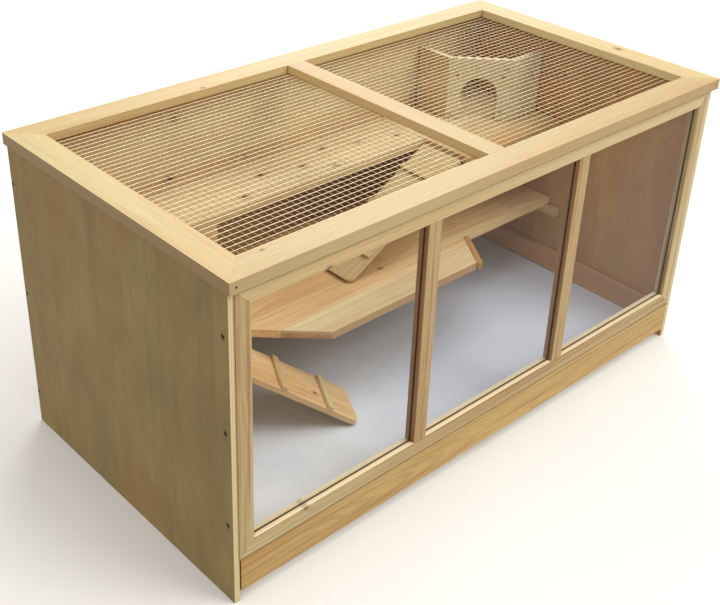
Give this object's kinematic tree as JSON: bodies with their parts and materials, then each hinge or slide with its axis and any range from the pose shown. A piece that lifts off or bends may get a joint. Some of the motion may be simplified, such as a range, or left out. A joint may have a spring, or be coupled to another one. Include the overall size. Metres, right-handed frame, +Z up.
{
  "type": "hamster cage",
  "caption": "Wooden hamster cage with clear front windows, shelves joined by swinging ramps, a nest room, a corner house and a hinged wire-mesh lid.",
  "frame": {"origin": "middle of the footprint, on the ground", "axes": "+Z up, +X to the cage's right seen from the front, the windows face -Y, the lid is hinged at +Y"},
  "size_m": [1.15, 0.6, 0.58],
  "materials": {
    "pine": "planed, unfinished",
    "orange_pine": "planed, unfinished",
    "pale_pine": "planed, unfinished",
    "plywood": "sanded plywood",
    "white_board": "white melamine face",
    "clear_sheet": "clear acrylic",
    "galvanised": "galvanised",
    "zinc_steel": "zinc plated",
    "dark_steel": "black phosphate"
  },
  "bodies": {
    "cage": {"side_panel_left": "plywood", "side_panel_right": "plywood", "back_panel": "plywood", "floor_board": "white_board", "floor_bearers": "pine", "front_plinth": "orange_pine", "skirting_left": "orange_pine", "skirting_right": "orange_pine", "skirting_back": "orange_pine", "frame_bottom_rail": "pine", "frame_top_rail": "pine", "frame_left_stile": "pine", "frame_right_stile": "pine", "frame_left_mullion": "pine", "frame_right_mullion": "pine", "window_left": "clear_sheet", "window_middle": "clear_sheet", "window_right": "clear_sheet", "mid_shelf_landing_board": "pine", "mid_shelf_front_board": "pine", "mid_shelf_middle_board": "orange_pine", "mid_shelf_back_board": "pine", "mid_shelf_batten": "orange_pine", "mid_shelf_side_cleats": "pine", "mid_shelf_back_cleat": "pine", "upper_floor_back_board": "pine", "upper_floor_front_board": "pine", "upper_floor_right_board": "pine", "upper_floor_side_cleats": "pine", "upper_floor_back_cleat": "pine", "nest_front_wall": "pine", "nest_side_wall": "pine", "house_side_wall": "pine", "house_door_wall": "pine", "house_front_wall": "pine", "panel_screws": "dark_steel", "lid_hinge_cage_leaves": "zinc_steel", "hinge_pins": "zinc_steel", "cage_hinge_screws": "zinc_steel", "upper_floor_hinge_leaf": "zinc_steel", "mid_shelf_hinge_leaf": "zinc_steel"},
    "lid": {"lid_front_rail": "pale_pine", "lid_back_rail": "pale_pine", "lid_left_rail": "pale_pine", "lid_right_rail": "pale_pine", "lid_crossbar": "pale_pine", "lid_mesh_left": "galvanised", "lid_mesh_right": "galvanised", "mesh_staples": "galvanised", "lid_corner_nails": "dark_steel", "lid_hinge_lid_leaves": "zinc_steel", "lid_hinge_screws": "zinc_steel"},
    "upper_ramp": {"upper_ramp_board": "orange_pine", "upper_ramp_strips": "pine", "upper_ramp_hinge_leaf": "zinc_steel", "ramp_hinge_screws_upper": "zinc_steel"},
    "lower_ramp": {"lower_ramp_board": "orange_pine", "lower_ramp_strips": "pine", "lower_ramp_hinge_leaf": "zinc_steel", "ramp_hinge_screws_lower": "zinc_steel"}
  },
  "joints": [
    {"name": "lid_hinge", "type": "hinge", "parent": "cage", "child": "lid", "pos_m": [0, 0.298, 0.558], "axis": [-1, 0, 0], "range_deg": [0, 100]},
    {"name": "upper_ramp_swing", "type": "hinge", "parent": "cage", "child": "upper_ramp", "pos_m": [0.264, 0.098, 0.367], "axis": [0, 1, 0], "range_deg": [0, 29]},
    {"name": "lower_ramp_swing", "type": "hinge", "parent": "cage", "child": "lower_ramp", "pos_m": [-0.34446, 0.02965, 0.182], "axis": [-0.4695, -0.8829, 0], "range_deg": [0, 20]}
  ]
}
